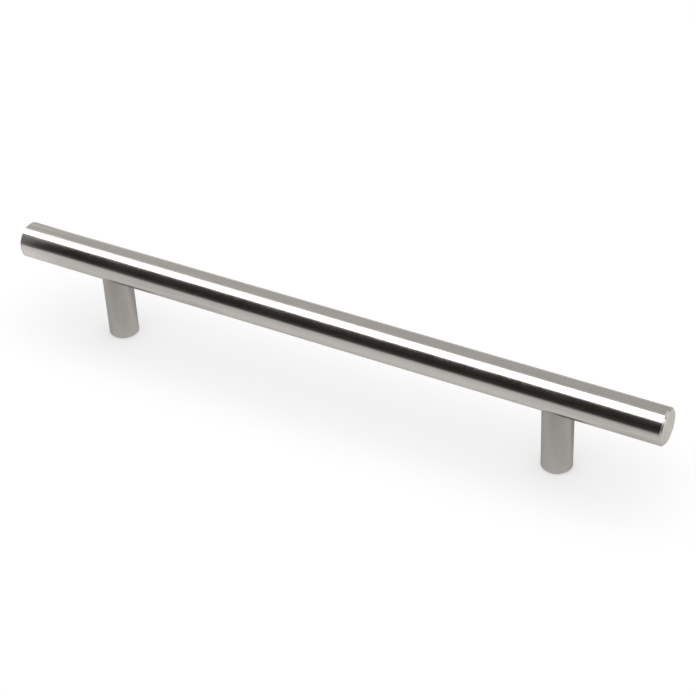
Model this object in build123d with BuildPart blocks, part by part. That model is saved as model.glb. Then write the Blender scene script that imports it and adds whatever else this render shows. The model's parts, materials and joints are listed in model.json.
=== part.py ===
from build123d import *
import math
import os

# T bar cabinet pull: a solid round bar carried by two turned posts. Millimetres.
# +X runs along the bar, +Z points away from the cabinet, and the origin lies on the
# cabinet's face, halfway between the two feet.

# The bar
bar_diameter = 12.0
bar_end_chamfer = 0.6
overhang = 35.0  # from each post's axis to the end of the bar
projection = 33.3  # from the cabinet's face to the crown of the bar

# The two posts
hole_centres = 160.0
post_diameter = 10.0
foot_chamfer = 0.5
shoulder_chamfer = 0.2

# The flat-bottomed seats that the posts sink into, in the underside of the bar
seat_depth = 3.2
seat_clearance = 0.05

# Tapped holes, all of the same thread, drawn at the thread's outer diameter
thread_diameter = 4.0
thread_clearance = 0.05
mouth_chamfer = 0.4
drill_point_angle = 118.0
screw_hole_depth = 12.0  # for the cabinet screw, in the foot

# The headless studs that join the posts to the bar
stud_length = 10.0
stud_in_bar = 5.0
stud_chamfer = 0.5
stud_end_gap = 0.5  # left free past each end of the stud
socket_across_flats = 2.0
socket_depth = 2.5

# Places and radii that follow from the sizes above
bar_length = hole_centres + 2 * overhang
bar_radius = bar_diameter / 2
bar_axis_z = projection - bar_radius
post_radius = post_diameter / 2
seat_floor_z = projection - bar_diameter + seat_depth
hole_radius = thread_diameter / 2 + thread_clearance
stud_radius = thread_diameter / 2
drill_slope = math.tan(math.radians(90 - drill_point_angle / 2))
stud_foot_z = seat_floor_z + stud_in_bar - stud_length
bar_hole_depth = stud_in_bar + stud_end_gap
post_hole_depth = stud_length - stud_in_bar + stud_end_gap
sides = {"left": -hole_centres / 2, "right": hole_centres / 2}

os.makedirs("parts", exist_ok=True)


def upright_section(x):
    """The plane of a turned piece's half section, with its own axis at X = x."""
    return Plane(origin=(x, 0, 0), x_dir=(1, 0, 0), z_dir=(0, -1, 0))


def upright_axis(x):
    return Axis((x, 0, 0), (0, 0, 1))


def hole_outline(mouth_z, depth, up):
    """Half section of a tapped hole from its mouth to its drill point, up or down from mouth_z."""
    way = 1 if up else -1
    return [
        (hole_radius + mouth_chamfer, mouth_z),
        (hole_radius, mouth_z + way * mouth_chamfer),
        (hole_radius, mouth_z + way * depth),
        (0, mouth_z + way * (depth + hole_radius * drill_slope)),
    ]


# Bar: a rod with chamfered ends, then the seats and their tapped holes from below
with BuildPart() as bar:
    with BuildSketch(Plane(origin=(-bar_length / 2, 0, bar_axis_z), z_dir=(1, 0, 0))):
        Circle(bar_radius)
    extrude(amount=bar_length)
    chamfer(bar.edges().filter_by(GeomType.CIRCLE), length=bar_end_chamfer)
    with BuildSketch(Plane.XY.offset(seat_floor_z)):
        with GridLocations(hole_centres, 0, 2, 1):
            Circle(post_radius + seat_clearance)
    extrude(amount=-seat_floor_z, mode=Mode.SUBTRACT)
    for x in sides.values():
        with BuildSketch(upright_section(x)):
            with BuildLine():
                Polyline((0, seat_floor_z), *hole_outline(seat_floor_z, bar_hole_depth, up=True), close=True)
            make_face()
        revolve(axis=upright_axis(x), mode=Mode.SUBTRACT)
bar.part.label = "bar"
export_step(bar.part, "parts/bar.step")

# Posts: each is turned from round rod and tapped from both ends
for side, x in sides.items():
    with BuildPart() as post:
        with BuildSketch(upright_section(x)):
            with BuildLine():
                Polyline(
                    *hole_outline(0, screw_hole_depth, up=True),
                    *reversed(hole_outline(seat_floor_z, post_hole_depth, up=False)),
                    (post_radius - shoulder_chamfer, seat_floor_z),
                    (post_radius, seat_floor_z - shoulder_chamfer),
                    (post_radius, foot_chamfer),
                    (post_radius - foot_chamfer, 0),
                    close=True,
                )
            make_face()
        revolve(axis=upright_axis(x))
    post.part.label = f"{side}_post"
    export_step(post.part, f"parts/{side}_post.step")

# Studs: headless, chamfered at both ends, with a hex socket in the end that faces the foot
for side, x in sides.items():
    with BuildPart() as stud:
        with BuildSketch(upright_section(x)):
            with BuildLine():
                Polyline(
                    (0, stud_foot_z),
                    (stud_radius - stud_chamfer, stud_foot_z),
                    (stud_radius, stud_foot_z + stud_chamfer),
                    (stud_radius, stud_foot_z + stud_length - stud_chamfer),
                    (stud_radius - stud_chamfer, stud_foot_z + stud_length),
                    (0, stud_foot_z + stud_length),
                    close=True,
                )
            make_face()
        revolve(axis=upright_axis(x))
        with BuildSketch(Plane(origin=(x, 0, stud_foot_z), z_dir=(0, 0, 1))):
            RegularPolygon(socket_across_flats / 2, 6, major_radius=False)
        extrude(amount=socket_depth, mode=Mode.SUBTRACT)
    stud.part.label = f"{side}_stud"
    export_step(stud.part, f"parts/{side}_stud.step")
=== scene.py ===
import json
import math

import bmesh
import bpy
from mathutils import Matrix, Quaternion, Vector


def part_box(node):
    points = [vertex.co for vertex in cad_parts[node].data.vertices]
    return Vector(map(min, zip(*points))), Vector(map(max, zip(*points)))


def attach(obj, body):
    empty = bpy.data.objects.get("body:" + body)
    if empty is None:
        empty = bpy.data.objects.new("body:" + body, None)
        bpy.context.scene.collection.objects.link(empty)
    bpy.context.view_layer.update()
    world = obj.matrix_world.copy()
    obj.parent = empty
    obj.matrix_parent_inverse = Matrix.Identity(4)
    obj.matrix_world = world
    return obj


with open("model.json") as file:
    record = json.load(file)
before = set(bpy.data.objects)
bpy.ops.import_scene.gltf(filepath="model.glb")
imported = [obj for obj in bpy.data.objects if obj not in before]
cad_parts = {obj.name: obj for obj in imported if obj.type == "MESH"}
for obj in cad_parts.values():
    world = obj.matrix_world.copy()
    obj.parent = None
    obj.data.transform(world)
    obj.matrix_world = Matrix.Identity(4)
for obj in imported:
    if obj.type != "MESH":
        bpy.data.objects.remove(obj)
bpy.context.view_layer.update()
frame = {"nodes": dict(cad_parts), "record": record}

bpy.ops.object.select_all(action="DESELECT")

# The part's own places, in metres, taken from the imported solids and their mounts
bar_low, bar_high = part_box("bar")
bar_axis_z = (bar_high.z + bar_low.z) / 2
bar_length = bar_high.x - bar_low.x
screw_holes = {
    mount["name"].split("_")[0]: mount
    for mount in frame["record"]["mounts"] if mount["kind"] == "threaded_hole"
}

# The tapped thread in each foot, of 4 mm outer diameter
thread_pitch = 0.0007
thread_height = 0.0004
thread_root_share = 7 / 8  # of the pitch, along the ridge's foot on the wall of the hole
thread_crest_share = 1 / 4  # of the pitch, along the ridge's top
thread_sink = 0.00003  # how far the ridge's foot is set into the wall
thread_turns = 15
thread_steps = 32  # facets in each turn
mouth_chamfer = 0.0004
smooth_angle = 30  # in degrees: edges of the ridge that turn more than this stay sharp

# Finishes. anisotropic draws reflections out along the axis, and tint is the share of them left at grazing
# angles. The end and bevel tones are painted light on the flat ends and painted shade on the bevels, and
# patch how much streaks vary
finishes = {
    "bar": dict(along="X", colour=(0.460, 0.439, 0.407), roughness=0.235, anisotropic=0.84, tint=0.57,
                bevel=0.0006, painted_end_light=1.34, painted_bevel_shade=0.92, patch=0.04),
    # the posts are the same metal as the bar, but their colour is set darker as painted shade, and their
    # bevel tone paints their ends darker still
    "post": dict(along="Z", colour=(0.334, 0.318, 0.297), roughness=0.36, anisotropic=0.5, tint=0.52,
                 painted_bevel_shade=0.58, patch=0.05),
    "stud": dict(along="Z", colour=(0.40, 0.40, 0.40), roughness=0.35, anisotropic=0.3, tint=0.80),
    "thread": dict(along="Z", colour=(0.42, 0.405, 0.385), roughness=0.30, anisotropic=0.3, tint=0.80),
}

# What the patterns of a finish do: the shares by which they change its tone and roughness, and their relief
pattern_range = (0.3, 0.7)  # where nearly all of a noise pattern's values lie
line_tone = 0.035
ring_tone = 0.04
line_roughness = 0.06
patch_roughness = 0.08
relief_strength = 0.02
relief_height = 0.0001
across_lines = 0.25  # of a turn, from the fine lines to the way that reflections are drawn out
end_skin = 0.00001  # how near its end plane a surface has to be to count as the flat end

# The camera
camera_place = Vector((0.2668, -0.4357, 0.4049))
camera_aim = Vector((0.00795, -0.00037, 0.02152))
camera_roll = -3.11  # in degrees
camera_lens = 104.2  # in millimetres, as is the sensor
sensor_width = 36.0

# How far the rays reflected from the bar go along X for each unit that they travel across it
camera_from_bar = camera_place - Vector((0, 0, bar_axis_z))
drift = -camera_from_bar.x / math.hypot(camera_from_bar.y, camera_from_bar.z)

# The floor and the light on it
floor_size = 12.0
floor_colour = (0.64, 0.64, 0.64, 1)
floor_lift = 0.41  # what the camera sees added to the lit floor, near the part
white_from = (0.5, 2.0)  # the floor turns plain white to the camera between these distances from the part
fill_level = 0.60
overhead_height = 2.5
overhead_size = 4.0
overhead_energy = 40.0

# The floor's brightness in reflections, painted as light falling off from beside the part to floor_reach in
# front of it
floor_near = 1.19
floor_far = 0.92
floor_reach = 0.06
bar_shade = 0.40  # how much the bar's shadow dims it
bar_shade_at = (0.006, 0.018, 0.045, 0.060)  # along Y: start, full part's start and end, and end
# soft ovals beside each foot, two of painted shadow and one of painted light: place, half size, and
# brightness against the floor round them
post_painted_shades_and_glow = (
    ((-0.004, -0.034), (0.028, 0.020), 0.88),
    ((0.019, -0.010), (0.018, 0.020), 0.84),
    ((0.012, 0.021), (0.014, 0.014), 1.20),
)
oval_core = 0.2  # the share of an oval's half size that has its full brightness
behind_glow = 1.40  # behind the bar, growing from its right end to past its left one
behind_glow_from = (0.08, -0.20)
behind_fade = 0.03  # how far behind the bar it has come in
left_glow = 1.30  # past the bar's left end
left_glow_from = (-0.109, -0.121)

# The softbox over the bar. Elevations are seen from the bar: 0 in front, 90 overhead, 180 behind
softbox_height = 0.40  # over the bar's axis
softbox_front = {"left": 63.2, "right": 57.9}
softbox_back = {"left": 96.6, "right": 97.0}
softbox_reach = 0.9
softbox_level = 5.2

# The room that the metal reflects: dark in front, pale behind
room_side = (-3.0, 3.0)
room_front = -1.5
room_back = 1.6
dark_level = 0.028
dark_horizon = 0.05  # the dark wall's level at the floor; it falls to dark_level at horizon_height
horizon_height = 0.35
dark_colour = (1.0, 0.92, 0.84, 1)
dark_edge = {"left": -0.173, "right": -0.112}  # where the dark floor starts, seen by each end of the bar
dark_fade = 0.13
dark_floor_gap = 0.001  # how far the dark floor lies over the pale one
back_levels = (0.86, 0.65)  # at the floor and at back_fade_height
back_fade_height = 3.4
back_height = (-0.2, 8.0)
side_reach = (-0.4, -1.4)  # along X, where the bar's right and left ends see the room's front and back
back_sides = (0.92, 1.09)  # what the back's levels are multiplied by at the ends of side_reach
dark_sides = (1.1, 0.6)  # the same for the dark front

# The room's right side: a card over a dark strip, and a wall close behind them
right_x = 1.0
right_card_side = (-0.06, 0.38)
right_card_height = (0.23, 0.50)
right_card_level = 1.05
right_strip_levels = (0.18, 0.50)  # at the floor and at the card's foot
right_wall_gap = 0.05  # how far the wall stands behind the card
right_wall_top = 2.0
right_wall_levels = (0.36, 1.40)  # before and behind the back edge of the right card

# The room's left side: a far card, and two small ones by the bar's left end
left_x = -1.0
left_card_side = (-0.25, 0.5)
left_card_height = (0, 0.35)
left_card_level = 0.9
left_back_x = -0.135
left_back_side = (0.012, 0.048)
left_back_height = (0, 0.055)
left_back_level = 1.1
left_front_y = -0.022
left_front_side = (-0.165, -0.1225)
left_front_height = (0.027, 0.064)
left_front_level = 0.37


def join(tree, start, end):
    tree.links.new(start, end)


def add_node(tree, kind, settings=None, inputs=None):
    """A node with its settings; an input given a socket is joined to it, and any other is set."""
    node = tree.nodes.new(kind)
    for name, value in (settings or {}).items():
        setattr(node, name, value)
    for name, value in (inputs or {}).items():
        if isinstance(value, bpy.types.NodeSocket):
            join(tree, value, node.inputs[name])
        else:
            node.inputs[name].default_value = value
    return node


def math_node(tree, operation, first, second=0.0):
    return add_node(tree, "ShaderNodeMath", {"operation": operation}, {0: first, 1: second}).outputs[0]


def product(tree, factors):
    """All the factors multiplied together."""
    total, *others = factors
    for factor in others:
        total = math_node(tree, "MULTIPLY", total, factor)
    return total


def vector_node(tree, operation, first, second=(0, 0, 0)):
    """The outputs of a sum on vectors, such as a product or a length."""
    return add_node(tree, "ShaderNodeVectorMath", {"operation": operation}, {0: first, 1: second}).outputs


def combine(tree, x=0.0, y=0.0, z=0.0):
    return add_node(tree, "ShaderNodeCombineXYZ", inputs={"X": x, "Y": y, "Z": z}).outputs["Vector"]


def noise(tree, dimensions, settings):
    return add_node(tree, "ShaderNodeTexNoise", {"noise_dimensions": dimensions}, settings).outputs["Fac"]


def map_range(tree, value, from_range, to_range, kind="LINEAR"):
    return add_node(tree, "ShaderNodeMapRange", {"interpolation_type": kind}, {
        "Value": value, "From Min": from_range[0], "From Max": from_range[1],
        "To Min": to_range[0], "To Max": to_range[1],
    }).outputs["Result"]


def vary(tree, pattern, middle, share):
    """A value that a noise pattern takes up and down from middle by a share of it."""
    return map_range(tree, pattern, pattern_range, (middle * (1 - share), middle * (1 + share)))


def mix(tree, share, first, second):
    return add_node(tree, "ShaderNodeMix", {"data_type": "FLOAT"},
                    {"Factor": share, "A": first, "B": second}).outputs["Result"]


def mix_shaders(tree, share, first, second):
    mixed = add_node(tree, "ShaderNodeMixShader", inputs={"Fac": share, 1: first, 2: second})
    return mixed.outputs["Shader"]


def emission(tree, level, colour=(1, 1, 1, 1)):
    glow = add_node(tree, "ShaderNodeEmission", inputs={"Color": colour, "Strength": level})
    return glow.outputs["Emission"]


def clear(tree):
    return add_node(tree, "ShaderNodeBsdfTransparent").outputs["BSDF"]


def split(tree, vector):
    """The X, Y and Z of a vector."""
    return add_node(tree, "ShaderNodeSeparateXYZ", inputs={"Vector": vector}).outputs


def object_place(tree):
    """The place on a piece, in metres."""
    return add_node(tree, "ShaderNodeTexCoord").outputs["Object"]


def new_material(name):
    """A node material with an empty tree, and that tree."""
    material = bpy.data.materials.new(name)
    material.use_nodes = True
    material.node_tree.nodes.clear()
    return material, material.node_tree


def set_surface(tree, shader_socket):
    add_node(tree, "ShaderNodeOutputMaterial", inputs={"Surface": shader_socket})


def new_group(name, inputs, outputs):
    """A shader node group, its inlet and its outlet. Inputs are names with values, or None for a vector."""
    group = bpy.data.node_groups.new(name, "ShaderNodeTree")
    for label, value in inputs.items():
        kind = "NodeSocketVector" if value is None else "NodeSocketFloat"
        socket = group.interface.new_socket(label, in_out="INPUT", socket_type=kind)
        if value is not None:
            socket.default_value = value
    for label in outputs:
        group.interface.new_socket(label, in_out="OUTPUT", socket_type="NodeSocketFloat")
    return group, group.nodes.new("NodeGroupInput").outputs, group.nodes.new("NodeGroupOutput").inputs


def satin_grain_group():
    """Fine lines round a rod that lies along X, and slow patches that run along it."""
    # scales per metre: of the lines along the rod and round it, and of the patches, which Streak draws out
    scales = {"Lines": 7000.0, "Length": 150.0, "Patches": 340.0, "Streak": 0.25}
    group, given, out = new_group("satin_grain", {"Vector": None, **scales}, ["Lines", "Patches"])
    stretch = combine(group, given["Lines"], given["Length"], given["Length"])
    along_lines = vector_node(group, "MULTIPLY", given["Vector"], stretch)["Vector"]
    lines = noise(group, "3D", {"Vector": along_lines, "Scale": 1.0, "Detail": 3.0, "Roughness": 0.6})
    shrink = combine(group, given["Streak"], 1.0, 1.0)
    drawn_out = vector_node(group, "MULTIPLY", given["Vector"], shrink)["Vector"]
    patches = noise(group, "3D", {
        "Vector": drawn_out, "Scale": given["Patches"], "Detail": 3.0, "Roughness": 0.55})
    join(group, lines, out["Lines"])
    join(group, patches, out["Patches"])
    return group


def turned_end_group():
    """Tool rings on the flat ends of a rod along X, a mask of those ends and one of their bevels."""
    sizes = {"Half Length": 0.1, "Bevel": 0.0005, "Pitch": 0.00025}
    group, given, out = new_group("turned_end", {"Vector": None, **sizes}, ["Rings", "End", "Bevel"])
    parts = split(group, given["Vector"])
    to_end = math_node(group, "SUBTRACT", given["Half Length"], math_node(group, "ABSOLUTE", parts["X"]))
    join(group, math_node(group, "LESS_THAN", to_end, end_skin), out["End"])
    join(group, math_node(group, "LESS_THAN", to_end, given["Bevel"]), out["Bevel"])
    radius = vector_node(group, "LENGTH", combine(group, y=parts["Y"], z=parts["Z"]))["Value"]
    turns = math_node(group, "DIVIDE", radius, given["Pitch"])
    join(group, noise(group, "1D", {"W": turns, "Scale": 1.0, "Detail": 2.0}), out["Rings"])
    return group


def satin_metal(name, piece_box, groups, along, colour, roughness, anisotropic, tint, bevel=0.0005,
                painted_end_light=1.0, painted_bevel_shade=1.0, patch=0.02):
    """Satin metal turned about the middle of its box: lines round its axis, rings on its flat ends, painted
    light on those ends and painted shade on its bevels.
    """
    low, high = piece_box
    material, tree = new_material(name)
    turned = add_node(tree, "ShaderNodeMapping", {"vector_type": "TEXTURE"}, {
        "Vector": object_place(tree), "Location": (low + high) / 2,
        "Rotation": (0, math.radians(-90) if along == "Z" else 0, 0)}).outputs["Vector"]
    half_length = (high.x - low.x) / 2 if along == "X" else (high.z - low.z) / 2
    grain = add_node(tree, "ShaderNodeGroup", {"node_tree": groups["grain"]}, {"Vector": turned}).outputs
    ends = add_node(tree, "ShaderNodeGroup", {"node_tree": groups["ends"]},
                    {"Vector": turned, "Half Length": half_length, "Bevel": bevel}).outputs

    # Tone: lines and patches all over, with painted shade on the bevels and painted light on the flat ends
    painted_bevel_tone = map_range(tree, ends["Bevel"], (0, 1), (1.0, painted_bevel_shade))
    rings_and_painted_light = mix(tree, ends["End"], painted_bevel_tone, vary(tree, ends["Rings"], painted_end_light, ring_tone))
    tone = product(tree, [vary(tree, grain["Lines"], 1.0, line_tone),
                          vary(tree, grain["Patches"], 1.0, patch), rings_and_painted_light])
    paint = add_node(tree, "ShaderNodeVectorMath", {"operation": "SCALE"}, {0: colour, "Scale": tone})

    rough = product(tree, [vary(tree, grain["Lines"], roughness, line_roughness),
                           vary(tree, grain["Patches"], 1.0, patch_roughness)])
    relief = add_node(tree, "ShaderNodeBump", inputs={
        "Strength": relief_strength, "Distance": relief_height,
        "Height": mix(tree, ends["End"], grain["Lines"], ends["Rings"])})
    tangent = add_node(tree, "ShaderNodeTangent", {"direction_type": "RADIAL", "axis": along})
    shader = add_node(tree, "ShaderNodeBsdfPrincipled", inputs={
        "Base Color": paint.outputs["Vector"], "Metallic": 1.0, "Roughness": rough,
        "Anisotropic": anisotropic, "Anisotropic Rotation": across_lines,
        "Specular Tint": (tint, tint, tint, 1), "Tangent": tangent.outputs["Tangent"],
        "Normal": relief.outputs["Normal"]})
    set_surface(tree, shader.outputs["BSDF"])
    return material


def glow_material(name, level):
    """A plain card of one brightness."""
    material, tree = new_material(name)
    set_surface(tree, emission(tree, level))
    return material


def graded_card_material(name, levels, top, colour=(1, 1, 1, 1), sides=(1, 1)):
    """A card with one level at the floor and another at top, both multiplied by sides over side_reach."""
    material, tree = new_material(name)
    parts = split(tree, object_place(tree))
    level = product(tree, [map_range(tree, parts["Z"], (0, top), levels),
                           map_range(tree, parts["X"], side_reach, sides)])
    set_surface(tree, emission(tree, level, colour))
    return material


def dark_floor_material(edge_point, edge_slope):
    """Dark beyond a slanted line on the floor, fading in over dark_fade, and clear on the near side."""
    material, tree = new_material("dark_floor")
    across = vector_node(tree, "DOT_PRODUCT", object_place(tree), (-edge_slope, 1, 0))["Value"]
    edge = edge_point[1] - edge_slope * edge_point[0]
    share = map_range(tree, across, (edge + dark_fade / 2, edge - dark_fade / 2), (0, 1), "SMOOTHSTEP")
    set_surface(tree, mix_shaders(tree, share, clear(tree), emission(tree, dark_level, dark_colour)))
    return material


def mirror_ray(tree):
    """1 for the rays that show surroundings in or through the part: glossy and transmission rays."""
    path = add_node(tree, "ShaderNodeLightPath").outputs
    return math_node(tree, "MAXIMUM", path["Is Glossy Ray"], path["Is Transmission Ray"])


def bar_shade_level(tree, parts):
    """1 on the open floor, and less in the bar's own shadow."""
    start, full, clearing, gone = bar_shade_at
    beside = math_node(tree, "ABSOLUTE", parts["X"])
    shade = product(tree, [
        map_range(tree, parts["Y"], (start, full), (0, 1), "SMOOTHSTEP"),
        map_range(tree, parts["Y"], (clearing, gone), (1, 0), "SMOOTHSTEP"),
        map_range(tree, beside, (bar_high.x - full, bar_high.x + full), (1, 0))])
    return map_range(tree, shade, (0, 1), (1, 1 - bar_shade))


def painted_oval_level(tree, place, middle, half, level):
    """A painted brightness, a shadow below 1 and light above it, in the middle of an oval on the floor,
    fading to 1 at its edge.
    """
    moved = add_node(tree, "ShaderNodeMapping", {"vector_type": "TEXTURE"}, {
        "Vector": place, "Location": (*middle, 0), "Scale": (*half, 1)}).outputs["Vector"]
    apart = vector_node(tree, "LENGTH", moved)["Value"]
    return map_range(tree, apart, (oval_core, 1.0), (level, 1), "SMOOTHSTEP")


def behind_glow_level(tree, parts):
    """1 in front of the bar, and more behind it, growing towards its left end."""
    behind = map_range(tree, parts["Y"], (0, behind_fade), (0, 1))
    return mix(tree, behind, 1.0, map_range(tree, parts["X"], behind_glow_from, (1.0, behind_glow)))


def left_glow_level(tree, parts):
    """1 beside the bar, and more past its left end, along the slant of the rays reflected there."""
    slant = math_node(tree, "MULTIPLY", math_node(tree, "ABSOLUTE", parts["Y"]), -drift)
    return map_range(tree, math_node(tree, "ADD", parts["X"], slant), left_glow_from, (1.0, left_glow))


def mirrored_floor_level(tree, place):
    """The floor's brightness in reflections, painted: light falling off to the front, with the part's
    painted shadows and the painted glows round it.
    """
    parts = split(tree, place)
    factors = [map_range(tree, parts["Y"], (-floor_reach, 0), (floor_far, floor_near)),
               bar_shade_level(tree, parts), behind_glow_level(tree, parts), left_glow_level(tree, parts)]
    for mount in screw_holes.values():
        foot = Vector(mount["pos_m"][:2])
        for at, half, level in post_painted_shades_and_glow:
            factors.append(painted_oval_level(tree, place, foot + Vector(at), half, level))
    return product(tree, factors)


def floor_material():
    """A pale floor: white to the camera where no shadow falls on it, and clear from below."""
    material, tree = new_material("pale_floor")
    place = object_place(tree)
    apart = vector_node(tree, "LENGTH", place)["Value"]
    lift = map_range(tree, apart, white_from, (floor_lift, 1.0), "SMOOTHSTEP")
    camera_ray = add_node(tree, "ShaderNodeLightPath").outputs["Is Camera Ray"]
    paint = add_node(tree, "ShaderNodeBsdfDiffuse", inputs={"Color": floor_colour}).outputs["BSDF"]
    seen = add_node(tree, "ShaderNodeAddShader", inputs={
        0: paint, 1: emission(tree, product(tree, [camera_ray, lift]))}).outputs["Shader"]
    mirrored = emission(tree, mirrored_floor_level(tree, place))
    above = mix_shaders(tree, mirror_ray(tree), seen, mirrored)
    from_below = add_node(tree, "ShaderNodeNewGeometry").outputs["Backfacing"]
    set_surface(tree, mix_shaders(tree, from_below, above, clear(tree)))
    return material


def add_flat(name, corners, material):
    """A flat face of the stage through four corners, in order round its edge."""
    mesh = bpy.data.meshes.new(name)
    mesh.from_pydata([Vector(corner) for corner in corners], [], [(0, 1, 2, 3)])
    mesh.materials.append(material)
    flat = bpy.data.objects.new(name, mesh)
    bpy.context.scene.collection.objects.link(flat)
    return flat


def add_card(name, corners, material):
    """A flat card that only reflections see."""
    card = add_flat(name, corners, material)
    card.visible_camera = False
    card.visible_diffuse = False
    card.visible_shadow = False
    card.visible_transmission = False


def level_corners(x, y, z):
    """Corners of a rectangle that lies at the height z, over the ranges x and y."""
    return [(x[0], y[0], z), (x[1], y[0], z), (x[1], y[1], z), (x[0], y[1], z)]


def across_corners(x, y, z):
    """Corners of an upright rectangle across the room at y, over the ranges x and z."""
    return [(x[0], y, z[0]), (x[1], y, z[0]), (x[1], y, z[1]), (x[0], y, z[1])]


def side_corners(x, y, z):
    """Corners of an upright rectangle along a side of the room at x, over the ranges y and z."""
    return [(x, y[0], z[0]), (x, y[1], z[0]), (x, y[1], z[1]), (x, y[0], z[1])]


def build_floor():
    reach = (-floor_size / 2, floor_size / 2)
    add_flat("floor", level_corners(reach, reach, 0), floor_material())


def build_dark_side():
    """The dark front of the room: a floor beyond a slanted edge, and a wall up to the softbox's edge."""
    slope = (dark_edge["right"] - dark_edge["left"]) / bar_length
    reach = -sum(dark_edge.values()) / 2
    add_card("dark_floor", level_corners((left_x, room_side[1]), (room_front, 0), dark_floor_gap),
             dark_floor_material((drift * reach, -reach), slope))
    top = bar_axis_z - room_front * math.tan(math.radians(max(softbox_front.values())))
    add_card("dark_front", across_corners(room_side, room_front, (0, top)),
             graded_card_material("dark_room", (dark_horizon, dark_level), horizon_height, dark_colour,
                                  dark_sides))


def build_pale_back():
    add_card("pale_back", across_corners(room_side, room_back, back_height),
             graded_card_material("pale_back", back_levels, back_fade_height, sides=back_sides))


def build_right_side():
    card_foot = right_card_height[0]
    card_back = right_card_side[1]
    add_card("dark_right", side_corners(right_x, (room_front, room_back), (0, card_foot)),
             graded_card_material("dark_right", right_strip_levels, card_foot))
    add_card("right_card", side_corners(right_x, right_card_side, right_card_height),
             glow_material("right_card", right_card_level))
    wall_x = right_x + right_wall_gap
    wall_height = (card_foot, right_wall_top)
    before, behind = right_wall_levels
    add_card("right_wall", side_corners(wall_x, (room_front, card_back), wall_height),
             glow_material("right_wall", before))
    add_card("right_behind", side_corners(wall_x, (card_back, room_back), wall_height),
             glow_material("right_behind", behind))


def build_left_side():
    add_card("left_card", side_corners(left_x, left_card_side, left_card_height),
             glow_material("left_card", left_card_level))
    add_card("left_back", side_corners(left_back_x, left_back_side, left_back_height),
             glow_material("left_back", left_back_level))
    add_card("left_front", across_corners(left_front_side, left_front_y, left_front_height),
             glow_material("left_front", left_front_level))


def softbox_edge(elevations):
    """Ends of the softbox's edge that stands at these elevations over the ends of the bar."""
    at = {side: -softbox_height / math.tan(math.radians(angle)) for side, angle in elevations.items()}
    rise = (at["right"] - at["left"]) / bar_length
    middle_x = drift * softbox_height
    middle_y = (at["left"] + at["right"]) / 2
    height = bar_axis_z + softbox_height
    return [(x, middle_y + rise * (x - middle_x), height) for x in (-softbox_reach, softbox_reach)]


def build_softbox():
    front_left, front_right = softbox_edge(softbox_front)
    back_left, back_right = softbox_edge(softbox_back)
    add_card("softbox", [front_left, back_left, back_right, front_right],
             glow_material("softbox", softbox_level))


def build_lamp():
    """A wide overhead lamp for the floor and its shadows; the metal is lit by the cards."""
    data = bpy.data.lights.new("overhead", "AREA")
    data.size = overhead_size
    data.energy = overhead_energy
    lamp = bpy.data.objects.new("overhead", data)
    bpy.context.scene.collection.objects.link(lamp)
    lamp.location = (0, 0, overhead_height)
    lamp.visible_camera = False
    lamp.visible_glossy = False


def build_world():
    """White to the camera and in reflections, and a soft fill for all else."""
    world = bpy.data.worlds.new("studio")
    bpy.context.scene.world = world
    world.use_nodes = True
    tree = world.node_tree
    tree.nodes.clear()
    camera_ray = add_node(tree, "ShaderNodeLightPath").outputs["Is Camera Ray"]
    seen = math_node(tree, "MAXIMUM", camera_ray, mirror_ray(tree))
    level = map_range(tree, seen, (0, 1), (fill_level, 1.0))
    light = add_node(tree, "ShaderNodeBackground", inputs={"Color": (1, 1, 1, 1), "Strength": level})
    add_node(tree, "ShaderNodeOutputWorld", inputs={"Surface": light.outputs["Background"]})


def build_camera():
    data = bpy.data.cameras.new("camera")
    data.lens = camera_lens
    data.sensor_width = sensor_width
    camera = bpy.data.objects.new("camera", data)
    bpy.context.scene.collection.objects.link(camera)
    camera.location = camera_place
    level = (camera_aim - camera_place).to_track_quat("-Z", "Y")
    camera.rotation_mode = "QUATERNION"
    camera.rotation_quaternion = level @ Quaternion((0, 0, 1), math.radians(camera_roll))
    bpy.context.scene.camera = camera


def dress_nodes(groups):
    """Gives each CAD node its finish."""
    for name, node in frame["nodes"].items():
        kind = name.split("_")[-1]
        finish = satin_metal("satin_" + name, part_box(name), groups, **finishes[kind])
        for slot in node.material_slots:
            slot.material = finish


def pick(piece, chosen):
    """Selects the vertices of a piece, open in edit mode, whose place chosen agrees to."""
    shape = bmesh.from_edit_mesh(piece.data)
    for vertex in shape.verts:
        vertex.select_set(chosen(vertex.co))
    shape.select_flush_mode()
    bmesh.update_edit_mesh(piece.data)


def apply_modifier(piece, kind, **settings):
    modifier = piece.modifiers.new(kind.lower(), kind)
    for name, value in settings.items():
        setattr(modifier, name, value)
    bpy.context.view_layer.objects.active = piece
    bpy.ops.object.modifier_apply(modifier=modifier.name)


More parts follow.
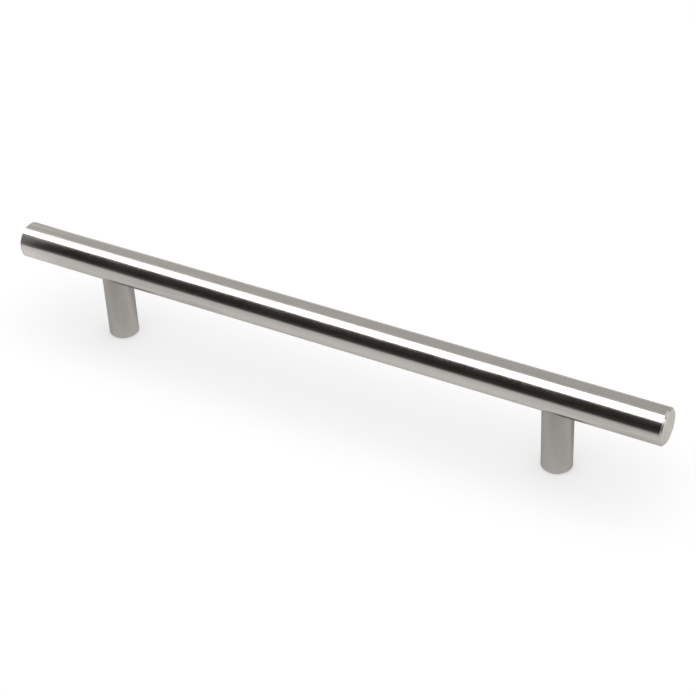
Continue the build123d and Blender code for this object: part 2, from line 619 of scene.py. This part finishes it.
def model_thread(wall):
    """The helical ridge of a tapped hole up the Z axis, cut back to the cone of the hole's mouth."""
    inner = wall - thread_height
    outer = wall + thread_sink
    middle = (inner + outer) / 2

    # the ridge's section, in the XZ plane beside the hole's axis
    bpy.ops.mesh.primitive_plane_add(size=1, location=(middle, 0, 0), rotation=(math.radians(90), 0, 0))
    thread = bpy.context.object
    thread.scale = (outer - inner, thread_root_share * thread_pitch, 1)
    bpy.ops.object.transform_apply(location=True, rotation=True, scale=True)
    bpy.ops.object.mode_set(mode="EDIT")
    bpy.ops.mesh.select_mode(type="VERT")
    pick(thread, lambda place: place.x < middle)
    bpy.ops.transform.resize(value=(1, 1, thread_crest_share / thread_root_share))
    bpy.ops.mesh.select_all(action="SELECT")
    bpy.ops.mesh.delete(type="ONLY_FACE")
    bpy.ops.object.mode_set(mode="OBJECT")

    # its sweep up the hole, with both ends closed
    apply_modifier(thread, "SCREW", axis="Z", angle=2 * math.pi, screw_offset=thread_pitch,
                   iterations=thread_turns, steps=thread_steps, render_steps=thread_steps)
    bpy.ops.object.mode_set(mode="EDIT")
    bpy.ops.mesh.select_all(action="DESELECT")
    bpy.ops.mesh.select_mode(type="EDGE")
    bpy.ops.mesh.select_non_manifold()
    bpy.ops.mesh.fill_holes(sides=4)
    bpy.ops.mesh.select_all(action="SELECT")
    bpy.ops.mesh.quads_convert_to_tris()
    bpy.ops.mesh.normals_make_consistent(inside=False)
    bpy.ops.object.mode_set(mode="OBJECT")

    # the tap's lead at the mouth, cut by a cone of 45 degrees that starts below the foot
    mouth = wall + mouth_chamfer
    below = 2 * thread_pitch
    bpy.ops.mesh.primitive_cone_add(vertices=2 * thread_steps, radius1=mouth + below, radius2=0,
                                    depth=mouth + below, location=(0, 0, (mouth - below) / 2))
    cone = bpy.context.object
    apply_modifier(thread, "BOOLEAN", operation="DIFFERENCE", object=cone, solver="EXACT")
    bpy.data.objects.remove(cone)
    bpy.ops.object.select_all(action="DESELECT")
    thread.select_set(True)
    bpy.context.view_layer.objects.active = thread
    bpy.ops.object.shade_smooth_by_angle(angle=math.radians(smooth_angle))
    thread.data.materials.clear()
    return thread


def cut_threads(groups):
    """A copy of the thread in each foot's hole, with a mesh of its own, in bare steel."""
    thread = model_thread(screw_holes["left"]["dims"]["r_mm"] / 1000)
    for side, mount in screw_holes.items():
        bpy.ops.object.select_all(action="DESELECT")
        thread.select_set(True)
        bpy.ops.object.duplicate(linked=False)
        copy = bpy.context.selected_objects[0]
        copy.name = side + "_foot_thread"
        copy.location.x = mount["pos_m"][0]
        bpy.ops.object.transform_apply(location=True, rotation=False, scale=False)
        finish = satin_metal("cut_" + side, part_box(side + "_post"), groups, **finishes["thread"])
        copy.data.materials.append(finish)
        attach(copy, "root")
    bpy.data.objects.remove(thread)


groups = {"grain": satin_grain_group(), "ends": turned_end_group()}
dress_nodes(groups)
cut_threads(groups)
build_floor()
build_lamp()
build_dark_side()
build_pale_back()
build_right_side()
build_left_side()
build_softbox()
build_world()
build_camera()
bpy.context.scene.view_settings.view_transform = "Standard"
